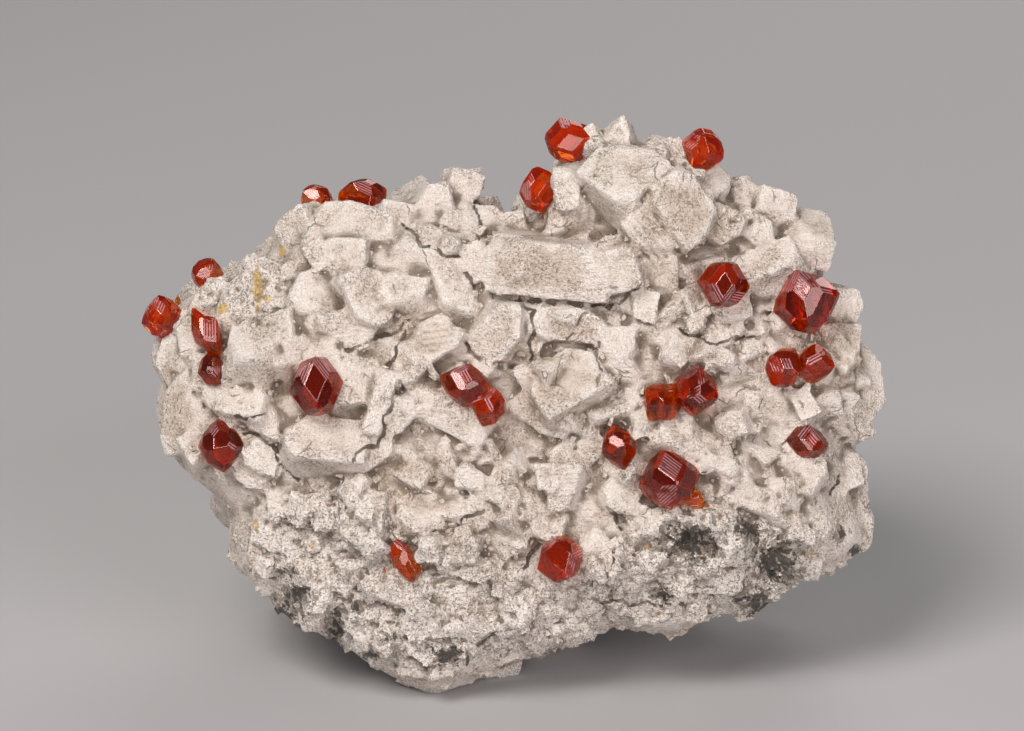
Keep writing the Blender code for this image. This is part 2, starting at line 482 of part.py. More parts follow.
def crystal_faces(rng):
    """The planes of a garnet: 12 rhombic and 24 kite-shaped faces, each grown a little unevenly."""
    planes = []
    for signs in itertools.product((-1, 1), repeat=3):
        for form, reach in (((1, 1, 0), RHOMB_REACH), ((2, 1, 1), KITE_REACH)):
            for turn in range(3):
                normal = Vector([form[(i + turn) % 3] * signs[i] for i in range(3)])
                normal.normalize()
                if all(normal.dot(other) < SAME_DIRECTION for other, _ in planes):
                    growth = rng.uniform(1 - UNEVEN_GROWTH, 1 + UNEVEN_GROWTH)
                    planes.append((normal, reach * growth))
    return planes


def make_garnet_crystal(garnet, rng, margin):
    """One garnet, or the room that it takes in the matrix where a margin is given."""
    crystal = bmesh.new()
    bmesh.ops.create_cube(crystal, size=CRYSTAL_BLANK)
    for normal, reach in crystal_faces(rng):
        cut_away(crystal, normal * reach, normal)
    crystal.transform(Euler([math.radians(angle) for angle in garnet.spin]).to_matrix().to_4x4())
    sizes = []
    for axis, wanted in enumerate((garnet.wide, garnet.tall, garnet.deep)):
        low = min(vert.co[axis] for vert in crystal.verts)
        high = max(vert.co[axis] for vert in crystal.verts)
        middle = Vector()
        middle[axis] = (low + high) / 2
        bmesh.ops.translate(crystal, vec=-middle, verts=crystal.verts)
        sizes.append((wanted + 2 * margin) / (high - low))
    bmesh.ops.scale(crystal, vec=sizes, verts=crystal.verts)
    roll = Matrix.Rotation(math.radians(garnet.roll), 4, "Z")
    crystal.transform(Matrix.Translation(place_above_lump(garnet)) @ roll)
    return crystal


def make_garnet(name, crystals, material, margin=0.0):
    """A garnet, or several grown into each other, as one object. Its name also seeds its growth."""
    rng = random.Random(name)
    whole, *others = [
        add_object(f"{name}_{number}", make_garnet_crystal(crystal, rng, margin), material)
        for number, crystal in enumerate(crystals)
    ]
    for other in others:
        combine(whole, other, "UNION")
    whole.name = name
    return whole


def keep_largest_body(thing):
    """Leave out the crumbs that a socket or the floor has cut off."""
    shape = bmesh.new()
    shape.from_mesh(thing.data)
    bodies = []
    unseen = set(shape.verts)
    while unseen:
        body = set()
        edge_of_search = [unseen.pop()]
        while edge_of_search:
            vert = edge_of_search.pop()
            body.add(vert)
            for edge in vert.link_edges:
                neighbour = edge.other_vert(vert)
                if neighbour in unseen:
                    unseen.remove(neighbour)
                    edge_of_search.append(neighbour)
        bodies.append(body)
    bodies.sort(key=len)
    for crumb in bodies[:-1]:
        bmesh.ops.delete(shape, geom=list(crumb), context="VERTS")
    bmesh.ops.triangulate(shape, faces=shape.faces)
    shape.to_mesh(thing.data)
    shape.free()


def make_matrix(material):
    """The lump and all its crystals in one solid, flat where it stands, with a socket for each garnet."""
    rng = random.Random(SPECIMEN_SEED)
    matrix = add_object("matrix", make_lump(rng), material)
    crystals = make_front_crystals(rng)
    add_face_crystals(crystals, rng)
    add_side_crystals(crystals, rng)
    add_back_crystals(crystals, rng)
    combine(matrix, add_object("crystals", crystals), "UNION", overlaps_itself=True)
    close_slivers(matrix)
    for name, group in GARNETS.items():
        socket = make_garnet(name, group, None, SOCKET_GAP)
        combine(matrix, socket, "DIFFERENCE")
    under_floor = bmesh.new()
    below = Matrix.Translation((0, 0, -FLOOR_BLOCK / 2))
    bmesh.ops.create_cube(under_floor, size=FLOOR_BLOCK, matrix=below)
    combine(matrix, add_shape("under_floor", under_floor), "DIFFERENCE")
    keep_largest_body(matrix)


clear_scene()
make_matrix(make_material(*FELDSPAR))
spessartine = make_material(*SPESSARTINE)
for garnet_name, garnet_group in GARNETS.items():
    make_garnet(garnet_name, garnet_group, spessartine)
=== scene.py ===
"""The looks of a spessartine garnet specimen: red-orange crystals on blocky white feldspar."""

import math
import random

import bmesh
import bpy
import numpy as np
from mathutils import Euler, Matrix, Vector
from mathutils.bvhtree import BVHTree


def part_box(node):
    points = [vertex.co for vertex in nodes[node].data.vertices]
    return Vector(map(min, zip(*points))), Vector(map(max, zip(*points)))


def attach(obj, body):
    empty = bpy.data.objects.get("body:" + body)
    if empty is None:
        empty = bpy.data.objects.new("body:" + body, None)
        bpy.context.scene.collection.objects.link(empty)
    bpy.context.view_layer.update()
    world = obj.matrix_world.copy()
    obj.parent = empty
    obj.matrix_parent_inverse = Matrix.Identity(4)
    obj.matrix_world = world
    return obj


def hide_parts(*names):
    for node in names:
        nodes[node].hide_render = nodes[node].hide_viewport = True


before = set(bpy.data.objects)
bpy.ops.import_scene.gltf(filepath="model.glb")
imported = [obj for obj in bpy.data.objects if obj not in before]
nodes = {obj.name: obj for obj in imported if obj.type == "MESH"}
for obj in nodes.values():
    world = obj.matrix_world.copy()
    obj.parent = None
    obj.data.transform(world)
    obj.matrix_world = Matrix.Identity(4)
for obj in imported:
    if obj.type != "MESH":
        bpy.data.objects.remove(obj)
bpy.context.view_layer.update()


# The matrix is one broken lump of altered feldspar. Its crystals have grown together, and their
# faces are chalky, pitted and worn at the edges. It fills the space round every garnet.
MM = 0.001
FACE_LEAN = math.radians(18)  # the display face leans back
FACE_MIDDLE = np.array((-0.3, -7.7, 39.0)) * MM
VIEW_DISTANCE = 480 * MM  # from which places on the face are read
FACE_UP = np.array((0, math.sin(FACE_LEAN), math.cos(FACE_LEAN)))
FACE_OUT = np.array((0, -math.cos(FACE_LEAN), math.sin(FACE_LEAN)))

GRAIN_OF_MESH = 0.30 * MM
MATRIX_TRIANGLES = 188000
# Open cracks between the crystals, as millimetres across and up from the middle of the face.
CRACKS = (
    ((-13.8, 17.9), (-11.5, 15.2), (-8.1, 13.7), (-6.5, 13.3)),
    ((-4.5, 20.7), (-4.0, 15.9)),
    ((-5.9, 11.9), (-4.6, 9.9)),
    ((16.0, 10.1), (14.1, 8.6), (12.2, 7.3), (10.0, 7.6)),
    ((0.0, 8.2), (2.9, 6.9), (4.8, 7.6)),
    ((2.8, 6.9), (2.2, 0.7)),
    ((9.1, 6.9), (7.2, 3.4)),
    ((10.6, 3.2), (11.0, -2.4)),
    ((-20.9, 1.9), (-17.1, 3.2), (-14.0, 4.7), (-12.8, 5.7)),
    ((-15.5, -0.6), (-14.0, 2.6), (-13.4, 4.4)),
    ((-34.6, -6.6), (-31.2, -6.2)),
    ((-33.6, -8.3), (-30.9, -9.3), (-28.9, -11.6), (-28.4, -13.3), (-26.5, -14.1)),
    ((-20.0, -12.4), (-18.8, -10.6), (-16.5, -9.7), (-15.9, -6.8), (-14.4, -3.7)),
    ((-5.9, 2.6), (-4.0, 0.4)),
    ((11.6, -17.4), (13.8, -20.3)),
    ((13.2, -22.2), (12.0, -26.8)),
    ((3.5, -22.2), (1.4, -25.6)),
    ((40.0, -16.2), (40.8, -13.7)),
    ((21.0, 4.4), (26.0, 2.6), (29.1, 3.8), (31.0, 3.2)),
    ((9.8, -29.3), (16.0, -29.8), (21.0, -29.9)),
    ((-5.9, -37.4), (-5.2, -35.6), (-2.1, -33.1)),
    ((-7.1, -20.2), (-3.4, -17.8)),
)
CRACK_WIDTH = 0.4
CRACK_DEPTH = 0.22
WIDE_WAVER = 0.26  # how far a crack strays from its line, in slow bends
FINE_WAVER = 0.07  # and in quick ones
# Holes between crystals: across, up, half width, half height.
HOLLOWS = (
    (27.6, 18.0, 0.9, 0.5), (29.8, 17.9, 0.6, 0.6), (23.2, 12.1, 1.6, 1.7),
    (2.9, 7.6, 3.1, 0.9), (2.9, 4.4, 0.6, 0.6), (0.4, -0.2, 1.2, 0.6), (-38.5, -4.9, 0.5, 0.9),
    (2.9, -11.8, 1.2, 0.6), (-14.6, -18.1, 0.6, 1.2), (-9.9, -14.6, 0.9, 0.9),
    (1.3, -28.7, 2.2, 2.5),
)
HOLLOW_DEPTH = 0.5
# Cleavage ribs: across, up, half size, direction of the ribs in degrees, spacing.
RIBBED = ((17.4, 15.7, 4.2, -52, 0.95), (-9.4, 4.1, 3.2, 8, 0.8), (-7.8, -24.9, 3.6, 14, 1.0))
RIB_DEPTH = 0.10
# Dark quartz and mica, and ochre stains: across, up, half width, half height.
DARK_PATCHES = (
    (22.2, -21.8, 3.1, 2.5), (29.4, -20.6, 1.6, 1.2), (33.0, -24.4, 2.6, 2.6),
    (18.8, -28.6, 1.6, 0.8), (30.4, -29.6, 1.9, 1.6), (41.0, -20.9, 0.8, 0.9),
    (42.9, -23.1, 0.8, 0.6), (-27.6, -25.8, 0.8, 0.6), (-27.1, -28.7, 1.9, 1.2),
    (-28.9, -31.0, 2.4, 1.1), (-22.1, -32.9, 1.2, 2.1), (-19.2, -30.2, 0.8, 0.6),
    (-16.1, -33.9, 0.8, 0.6), (-17.8, -36.2, 0.8, 0.6), (-8.1, -36.2, 1.6, 1.2),
)
OCHRE_STAINS = (
    (-28.6, 14.4, 0.6, 1.2), (-30.6, 8.2, 0.7, 0.5), (-31.8, 9.9, 0.9, 3.0),
    (-36.2, 7.1, 0.9, 1.1), (-25.0, -22.4, 0.5, 0.5), (-32.1, -20.1, 0.5, 1.1),
    (17.2, -22.7, 0.6, 0.5), (23.5, -23.7, 0.5, 0.5), (37.2, -23.7, 0.5, 0.5),
    (32.2, -30.3, 0.6, 0.5),
)
# Faces that are more beige than the rest: across, up, half width, half height.
BEIGE_FACES = (
    (21.8, 18.2, 6.5, 6.0), (3.2, 12.8, 6.0, 4.2), (-11.2, 3.4, 4.5, 4.0), (5.5, -1.6, 6.2, 6.0),
    (-12.4, -15.0, 6.0, 4.5), (17.2, 12.6, 3.6, 3.2), (-13.0, 7.0, 4.0, 3.4), (42.0, 1.0, 4.0, 5.0),
    (-42.5, -5.5, 3.4, 5.5), (-6.5, -24.0, 5.5, 5.0), (37.5, 15.0, 4.0, 3.0),
)


def seen_places(points):
    """Across, up and out of points in metres, in millimetres of the face as it is seen."""
    away = points - FACE_MIDDLE
    out = away @ FACE_OUT
    nearer = 1 - out / VIEW_DISTANCE
    return away[:, 0] / nearer / MM, (away @ FACE_UP) / nearer / MM, out / MM


def vertex_values(mesh, attribute="co"):
    values = np.empty(len(mesh.vertices) * 3)
    if attribute == "normal":
        mesh.vertex_normals.foreach_get("vector", values)
    else:
        mesh.vertices.foreach_get("co", values)
    return values.reshape(-1, 3)


def set_points(mesh, points):
    mesh.vertices.foreach_set("co", points.ravel())
    mesh.update()


def smooth_step(low, high, value):
    share = np.clip((value - low) / (high - low), 0, 1)
    return share * share * (3 - 2 * share)


def distance_to_cracks(across, up):
    """How far places of the face are from the nearest crack. The cracks waver."""
    slow = WIDE_WAVER * np.sin(across * 1.1 + up * 1.9)
    quick = FINE_WAVER * np.sin(up * 5.3 - across * 3.2)
    across = across + slow + quick
    slow = WIDE_WAVER * np.sin(across * 1.7 - up * 1.1)
    quick = FINE_WAVER * np.sin(across * 5.9 + up * 2.4)
    up = up + slow + quick
    nearest = np.full(across.shape, 9.0)
    for line in CRACKS:
        for (a0, u0), (a1, u1) in zip(line, line[1:]):
            run = (a1 - a0) ** 2 + (u1 - u0) ** 2
            along = np.clip(((across - a0) * (a1 - a0) + (up - u0) * (u1 - u0)) / run, 0, 1)
            gap = np.hypot(across - a0 - along * (a1 - a0), up - u0 - along * (u1 - u0))
            nearest = np.minimum(nearest, gap)
    return nearest


def patch_strength(across, up, patches):
    """1 in the middle of the nearest patch, 0 at its edge, below that outside."""
    strongest = np.full(across.shape, -9.0)
    for middle_across, middle_up, half_wide, half_tall in patches:
        reach = np.hypot((across - middle_across) / half_wide, (up - middle_up) / half_tall)
        strongest = np.maximum(strongest, 1 - reach)
    return strongest


def evaluated_mesh(thing):
    """The mesh of an object with its modifiers applied."""
    seen = thing.evaluated_get(bpy.context.evaluated_depsgraph_get())
    mesh = bpy.data.meshes.new_from_object(seen)
    mesh.name = thing.name
    thing.modifiers.clear()
    return mesh


def link(name, mesh):
    thing = bpy.data.objects.new(name, mesh)
    bpy.context.scene.collection.objects.link(thing)
    return thing


def copied_shape(node):
    """A CAD node's mesh, whose triangles come apart, merged and facing outwards."""
    shape = bmesh.new()
    shape.from_mesh(nodes[node].data)
    bmesh.ops.remove_doubles(shape, verts=shape.verts, dist=1e-6)
    bmesh.ops.recalc_face_normals(shape, faces=shape.faces)
    return shape


def hollowness(mesh, rounds):
    """How far each vertex lies below the mean of those round it, in millimetres."""
    ends = np.empty(len(mesh.edges) * 2, dtype=np.int64)
    mesh.edges.foreach_get("vertices", ends)
    first, second = ends.reshape(-1, 2).T
    total = len(mesh.vertices)
    count = np.bincount(first, minlength=total) + np.bincount(second, minlength=total)
    start = vertex_values(mesh)
    mean = start
    for _ in range(rounds):
        sums = []
        for values in mean.T:
            onto_first = np.bincount(first, values[second], total)
            onto_second = np.bincount(second, values[first], total)
            sums.append(onto_first + onto_second)
        mean = 0.5 * mean + 0.5 * np.stack(sums, axis=1) / np.maximum(count, 1)[:, None]
    return np.einsum("ij,ij->i", mean - start, vertex_values(mesh, "normal")) / MM


def add_relief(thing, name, size, height, zone=""):
    """Raise and sink the surface by cloudy lumps of this size and height, in millimetres."""
    pattern = bpy.data.textures.new(name, "CLOUDS")
    pattern.noise_scale = size * MM
    pattern.noise_depth = 2
    relief = thing.modifiers.new(name, "DISPLACE")
    relief.texture = pattern
    relief.texture_coords = "LOCAL"
    relief.strength = height * MM
    relief.mid_level = 0.5
    relief.vertex_group = zone


def add_rebuild(thing, name):
    """Rebuild the surface in even small faces, which joins what overlaps."""
    rebuilt = thing.modifiers.new(name, "REMESH")
    rebuilt.mode = "VOXEL"
    rebuilt.voxel_size = GRAIN_OF_MESH


shape = copied_shape("matrix")
matrix_mesh = bpy.data.meshes.new("matrix_stone")
shape.to_mesh(matrix_mesh)
shape.free()
matrix = link("matrix_stone", matrix_mesh)
add_rebuild(matrix, "even")
matrix.data = evaluated_mesh(matrix)

# Small crystals stand in the gaps between the large ones, and thickly where the rock is granular.
GARNETS = sorted(name for name in nodes if name.startswith("garnet"))
# Where the rock is granular or broken small: across, up, half width, half height.
GRANULAR_ZONES = (
    (-34, 10, 7, 4), (6, -30, 12, 7), (26, -25, 15, 7), (-12, -30, 20, 9), (-24, -22, 10, 7),
)
BROKEN_ZONES = ((34, -4, 11, 12), (24, 4, 8, 7), (22, -16, 8, 5), (-2, -14, 8, 6))
SMALL_CRYSTALS = 560
SMALLEST_CRYSTAL = 1.5
LARGEST_CRYSTAL = 3.8
MOST_LEAN = math.radians(28)  # of a small crystal's top from the surface
WIDEST_ROUNDS = 30  # of averaging, which find the gaps between large crystals
WIDE_ROUNDS = 24  # which find hollows as wide as a small crystal
SEAM_ROUNDS = 4  # which find the seams along which crystals meet
FINE_ROUNDS = 3  # which find the narrowest creases
rng = random.Random(11)
garnet_trees = {}
for name in GARNETS:
    shape = copied_shape(name)
    garnet_trees[name] = BVHTree.FromBMesh(shape)
    shape.free()


def clear_of_garnets(point, distance):
    return not any(tree.find_nearest(point, distance)[0] for tree in garnet_trees.values())


def chosen_places(mesh, likely, count):
    """Seeded choice of this many vertices, by how likely each is, as points and normals."""
    points = vertex_values(mesh)
    normals = vertex_values(mesh, "normal")
    for index in rng.choices(range(len(points)), weights=likely.tolist(), k=count):
        yield Vector(points[index]), Vector(normals[index])


def add_little_crystal(shape, point, normal, size, sunk, lean=math.pi):
    """A small uneven block, partly sunk in the surface. Its top leans by up to this angle."""
    turn = normal.to_track_quat("Z", "Y").to_matrix() @ Euler((
        rng.uniform(-lean, lean), rng.uniform(-lean, lean), rng.uniform(0, math.tau))).to_matrix()
    sides = Vector((size, size * rng.uniform(0.6, 1.0), size * rng.uniform(0.45, 0.9)))
    place = Matrix.LocRotScale(point - normal * size * sunk, turn.to_quaternion(), sides)
    block = bmesh.ops.create_cube(shape, size=1, matrix=place)
    for vert in block["verts"]:
        vert.co += Vector([rng.uniform(-0.1, 0.1) * size for _ in range(3)])


def add_grain(shape, point, normal, size, sunk):
    """A rounder broken grain of twenty uneven faces."""
    turn = Euler([rng.uniform(0, math.tau) for _ in range(3)])
    sides = Vector((size, size * rng.uniform(0.6, 1.0), size * rng.uniform(0.5, 0.9)))
    place = Matrix.LocRotScale(point - normal * size * sunk, turn, sides)
    grain = bmesh.ops.create_icosphere(shape, subdivisions=1, radius=0.5, matrix=place)
    for vert in grain["verts"]:
        vert.co += Vector([rng.uniform(-0.13, 0.13) * size for _ in range(3)])


points = vertex_values(matrix.data)
across, up, out = seen_places(points)
in_gaps = smooth_step(0.05, 0.5, hollowness(matrix.data, WIDEST_ROUNDS))
granular_here = smooth_step(-0.1, 0.3, patch_strength(across, up, GRANULAR_ZONES))
towards_viewer = vertex_values(matrix.data, "normal") @ FACE_OUT
turned_away = smooth_step(0.35, 0.1, towards_viewer)
broken_here = smooth_step(-0.2, 0.2, patch_strength(across, up, BROKEN_ZONES))
likely = (0.004 + 0.6 * in_gaps + 0.6 * granular_here + 0.45 * broken_here) * (1 - turned_away) + 0.02
shape = bmesh.new()
for point, normal in chosen_places(matrix.data, likely, SMALL_CRYSTALS):
    size = rng.uniform(SMALLEST_CRYSTAL, LARGEST_CRYSTAL) * MM
    sunk = 0.2 + 0.25 * smooth_step(0.5, 0.2, normal.dot(FACE_OUT))
    if clear_of_garnets(point, size * 0.7):
        add_little_crystal(shape, point, normal, size, sunk, MOST_LEAN)
shape.from_mesh(matrix.data)
shape.to_mesh(matrix.data)
shape.free()
add_rebuild(matrix, "grown_together")
matrix.data = evaluated_mesh(matrix)


def add_values(mesh, name, values):
    """A named value at every vertex, for the material to read."""
    attribute = mesh.attributes.new(name, "FLOAT", "POINT")
    attribute.data.foreach_set("value", np.ascontiguousarray(values, dtype=np.float32))


# Narrow creases where crystals meet, which the material darkens with painted shade.
add_values(matrix.data, "seam_shade", smooth_step(0.07, 0.26, hollowness(matrix.data, SEAM_ROUNDS)))
DEEPEST_GAP = 0.20  # gaps between the blocks are filled with rock above this depth
normals = vertex_values(matrix.data, "normal")
too_deep = np.maximum(hollowness(matrix.data, WIDE_ROUNDS) - DEEPEST_GAP, 0)
points = vertex_values(matrix.data) + normals * (too_deep * MM)[:, None]
across, up, out = seen_places(points)
on_face = smooth_step(0.0, 0.35, normals @ FACE_OUT) * smooth_step(0, 2, out)

sunk = CRACK_DEPTH * (1 - smooth_step(0.0, CRACK_WIDTH, distance_to_cracks(across, up)))
sunk = np.maximum(sunk, HOLLOW_DEPTH * smooth_step(0, 0.8, patch_strength(across, up, HOLLOWS)))
for middle_across, middle_up, half, direction, spacing in RIBBED:
    angle = math.radians(direction)
    over = (up - middle_up) * math.cos(angle) - (across - middle_across) * math.sin(angle)
    near = 1 - smooth_step(0.6, 1.1, np.hypot(across - middle_across, up - middle_up) / half)
    sunk += near * RIB_DEPTH * (1 + np.sin(over * math.tau / spacing))
sunk *= on_face
set_points(matrix.data, points - np.outer(sunk * MM, FACE_OUT))

granular_zone = smooth_step(-0.2, 0.3, patch_strength(across, up, GRANULAR_ZONES))
rough = matrix.vertex_groups.new(name="rough")
roughness = np.clip(0.2 + granular_zone + 0.6 * (1 - on_face), 0, 1)
for step in range(11):
    chosen = np.nonzero(np.round(roughness * 10) == step)[0].tolist()
    rough.add(chosen, step / 10, "REPLACE")
add_relief(matrix, "swells", 2.6, 0.22)
add_relief(matrix, "lumps", 0.9, 0.34, "rough")
matrix.data = evaluated_mesh(matrix)
matrix.vertex_groups.clear()


def reach_of(tree, point):
    """How far outside a garnet a point is, and the nearest point and outward normal of it."""
    nearest, normal, _, _ = tree.find_nearest(point)
    return (point - nearest).dot(normal), nearest, normal


CONTACT = -0.06 * MM  # the rock has grown fast to the garnets, with no air between
SOCKET_REACH = 0.75 * MM  # rock nearer than this is drawn up to the garnet
DRAWN_SHARE = 0.75  # of that reach, inside which rock comes right up to it
points = vertex_values(matrix.data)
for name, tree in garnet_trees.items():
    low, high = (np.array(corner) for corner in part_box(name))
    around = np.all((points > low - 2 * SOCKET_REACH) & (points < high + 2 * SOCKET_REACH), axis=1)
    for index in np.nonzero(around)[0]:
        reach, nearest, normal = reach_of(tree, Vector(points[index]))
        if reach < SOCKET_REACH:
            beyond = max(0, reach - SOCKET_REACH * DRAWN_SHARE)
            points[index] = nearest + normal * (CONTACT + beyond / (1 - DRAWN_SHARE))
set_points(matrix.data, points)

triangles = sum(len(face.vertices) - 2 for face in matrix.data.polygons)
coarser = matrix.modifiers.new("coarser", "DECIMATE")
coarser.ratio = min(1, MATRIX_TRIANGLES / triangles)
matrix.data = evaluated_mesh(matrix)
points = vertex_values(matrix.data)
points[:, 2] = np.maximum(points[:, 2], 0)  # its lowest parts are worn flat
set_points(matrix.data, points)
shape = bmesh.new()
shape.from_mesh(matrix.data)
# The coarsening leaves a few flaps, two loose triangles back to back.
flaps = [vert for vert in shape.verts if [len(face.verts) for face in vert.link_faces] == [3, 3]]
bmesh.ops.delete(shape, geom=flaps, context="VERTS")
shape.to_mesh(matrix.data)
shape.free()
matrix.data.shade_smooth()
matrix.data.set_sharp_from_angle(angle=math.radians(30))


DEEPEST_PATCH = -16  # millimetres behind the middle of the face, past which none is seen


def add_patch_values(mesh):
    """Where the patches, stains and granular parts are, for the material to read."""
    across, up, out = seen_places(vertex_values(mesh))
    on_front = out > DEEPEST_PATCH
    for name, patches in (("mineral", DARK_PATCHES), ("ochre", OCHRE_STAINS), ("beige", BEIGE_FACES)):
        add_values(mesh, name, np.where(on_front, patch_strength(across, up, patches), -9))
    granular = smooth_step(-0.3, 0.5, patch_strength(across, up, GRANULAR_ZONES))
    add_values(mesh, "granular", np.clip(granular + 0.5 * smooth_step(2, -6, out), 0, 1))
    add_values(mesh, "from_crack", np.where(on_front, distance_to_cracks(across, up), 9))


# How hollow each place is, finely and widely. The material paints shade into the hollows and creases by
# it, and makes the convex edges paler.
fine_hollows = hollowness(matrix.data, FINE_ROUNDS)
wide_hollows = hollowness(matrix.data, WIDE_ROUNDS)
crevices = np.clip(fine_hollows * 6, -1, 1) * 0.6 + np.clip(wide_hollows * 1.5, -1, 1) * 0.45
add_values(matrix.data, "crevice", crevices)
add_patch_values(matrix.data)


class Wire:
    """A socket of a material. Arithmetic on it adds Math nodes."""

    def __init__(self, finish, socket):
        self.finish = finish
        self.socket = socket

    def math(self, operation, first, second=0.0, clamp=False):
        settings = {"operation": operation, "use_clamp": clamp}
        return self.finish.node("ShaderNodeMath", settings, {0: first, 1: second})

    def __add__(self, other):
        return self.math("ADD", self, other)

    def __radd__(self, other):
        return self.math("ADD", other, self)

    def __sub__(self, other):
        return self.math("SUBTRACT", self, other)

    def __rsub__(self, other):
        return self.math("SUBTRACT", other, self)

    def __mul__(self, other):
        return self.math("MULTIPLY", self, other)

    def __rmul__(self, other):
        return self.math("MULTIPLY", other, self)

    def clamped(self):
        return self.math("ADD", self, 0.0, clamp=True)

    def ramp(self, low, high):
        """0 up to the low value and 1 from the high one, smooth between."""
        values = {"Value": self, "From Min": low, "From Max": high}
        return self.finish.node("ShaderNodeMapRange", {"interpolation_type": "SMOOTHSTEP"}, values)


class Finish:
    """A material with one way to add a node."""

    def __init__(self, name):
        self.material = bpy.data.materials.new(name)
        self.material.use_nodes = True
        self.tree = self.material.node_tree
        self.shader = self.tree.nodes["Principled BSDF"]
        self.place = self.node("ShaderNodeTexCoord", output="Object")

    def node(self, kind, settings=None, values=None, output=0):
        added = self.tree.nodes.new(kind)
        for name, value in (settings or {}).items():
            setattr(added, name, value)
        for name, value in (values or {}).items():
            self.feed(added.inputs[name], value)
        return Wire(self, added.outputs[output])

    def feed(self, socket, value):
        if isinstance(value, Wire):
            self.tree.links.new(value.socket, socket)
        else:
            socket.default_value = value

    def noise(self, size, detail=2.0, roughness=0.5):
        """Noise from 0 to 1 whose lumps have this size in millimetres."""
        values = {"Vector": self.place, "Scale": 1 / (size * MM), "Detail": detail}
        values["Roughness"] = roughness
        return self.node("ShaderNodeTexNoise", values=values)

    def noise_colour(self, size, detail=2.0):
        """Three noises from 0 to 1 as a vector."""
        values = {"Vector": self.place, "Scale": 1 / (size * MM), "Detail": detail}
        return self.node("ShaderNodeTexNoise", values=values, output="Color")

    def cell_edges(self, size, place):
        """How far a place is from the edges between cells of this size in millimetres."""
        values = {"Vector": place, "Scale": 1 / (size * MM)}
        return self.node("ShaderNodeTexVoronoi", {"feature": "DISTANCE_TO_EDGE"}, values, "Distance")

    def math(self, operation, first, second):
        return Wire(self, None).math(operation, first, second)

    def value(self, name):
        return self.node("ShaderNodeAttribute", {"attribute_name": name}, output="Fac")

    def mix(self, share, first, second):
        """Two colours mixed."""
        return self.node("ShaderNodeMix", {"data_type": "RGBA"}, {0: share, 6: first, 7: second}, output=2)

    def bump(self, height, distance, strength=1.0, normal=None):
        """A bump whose heights from 0 to 1 stand for this distance in millimetres."""
        values = {"Height": height, "Distance": distance * MM, "Strength": strength}
        if normal:
            values["Normal"] = normal
        return self.node("ShaderNodeBump", values=values)

    def set(self, **values):
        for name, value in values.items():
            self.feed(self.shader.inputs[name.replace("_", " ")], value)


PALEST_WHITE = (0.96, 0.89, 0.825, 1)
CHALK_WHITE = (0.86, 0.765, 0.69, 1)
CREAM = (0.70, 0.585, 0.485, 1)
# Painted shade, for creases and seams.
CREVICE_SHADE = (0.17, 0.125, 0.085, 1)
GRIT_BROWN = (0.29, 0.22, 0.165, 1)
# Painted deeper shade, for the deepest hollows, the open cracks and the pits.
DEEP_SHADE = (0.06, 0.042, 0.028, 1)
MICA_BLACK = (0.045, 0.037, 0.031, 1)
SMOKY_GREY = (0.19, 0.155, 0.12, 1)
OCHRE = (0.62, 0.40, 0.10, 1)

chalk = Finish("altered_feldspar")
crevice = chalk.value("crevice")
granular = chalk.value("granular")
mottle = chalk.noise(4.0, 3, 0.6)
beige = (chalk.value("beige") + (mottle - 0.5) * 1.6).ramp(-0.2, 0.5)
colour = chalk.mix(mottle.ramp(0.35, 0.7) * 0.6 + beige * 0.6 - granular * 0.25, CHALK_WHITE, CREAM)
colour = chalk.mix(granular * 0.5, colour, PALEST_WHITE)
# Painted shade: creases and hollows are darkened brown, the deepest nearly black.
colour = chalk.mix(crevice.ramp(0.04, 0.62) * 0.85, colour, CREVICE_SHADE)
colour = chalk.mix(crevice.ramp(0.5, 1.0) * (0.6 - granular * 0.4), colour, DEEP_SHADE)
# Paler along convex edges.
colour = chalk.mix((0 - crevice).ramp(0.05, 0.5) * 0.6, colour, PALEST_WHITE)
# Painted shade along the narrow creases where crystals meet.
seam_shade = (chalk.value("seam_shade") + (chalk.noise(0.5, 2) - 0.5) * 0.5).ramp(0.35, 0.75)
colour = chalk.mix(seam_shade * (0.8 - granular * 0.45), colour, CREVICE_SHADE)
wander = chalk.noise(0.9, 3, 0.6) - 0.5
crack = 1 - (chalk.value("from_crack") + wander * 0.30).ramp(0.13, 0.25)
crack = crack * (0.6 + chalk.noise(2.2, 1).ramp(0.35, 0.6) * 0.4)
bent = chalk.node("ShaderNodeVectorMath", {"operation": "MULTIPLY_ADD"}, {
    0: chalk.noise_colour(1.3, 3), 1: (1.6 * MM, 1.6 * MM, 1.6 * MM), 2: chalk.place})
splits = chalk.cell_edges(4.2, bent)
split = (1 - splits.ramp(0.004, 0.026)) * chalk.noise(3.4, 2).ramp(0.56, 0.64)
patchy = mottle.ramp(0.42, 0.62)
pits = chalk.noise(0.32, 2, 0.65).ramp(0.57, 0.63) * (0.15 + patchy * 0.7 + granular * 0.7).clamped()
grit = chalk.noise(0.38, 3, 0.8).ramp(0.38, 0.66)
specks = chalk.noise(0.16, 2, 0.6).ramp(0.50, 0.70)
# Painted shade in the open cracks, hairline splits and pits, which are darkened nearly black.
shaded_openings = chalk.math("MAXIMUM", chalk.math("MAXIMUM", crack, split * 0.7), pits * 0.6)
colour = chalk.mix(shaded_openings * 0.92, colour, DEEP_SHADE)
colour = chalk.mix(specks * (0.3 + patchy * 0.3) + grit * (0.20 + patchy * 0.34), colour, GRIT_BROWN)
grey_grains = chalk.noise(0.7, 3, 0.7).ramp(0.56, 0.64) * granular
colour = chalk.mix(grey_grains * 0.5, colour, SMOKY_GREY)
stain = (chalk.value("ochre") + (chalk.noise(0.8, 3) - 0.5) * 2.2).ramp(-0.1, 0.7)
colour = chalk.mix(stain * 0.8, colour, OCHRE)
mineral = chalk.value("mineral")
smoky = (mineral * 0.8 + (chalk.noise(1.1, 3, 0.6) - 0.5) * 4.5).ramp(-0.14, 0.04)
colour = chalk.mix(smoky * 0.7, colour, SMOKY_GREY)
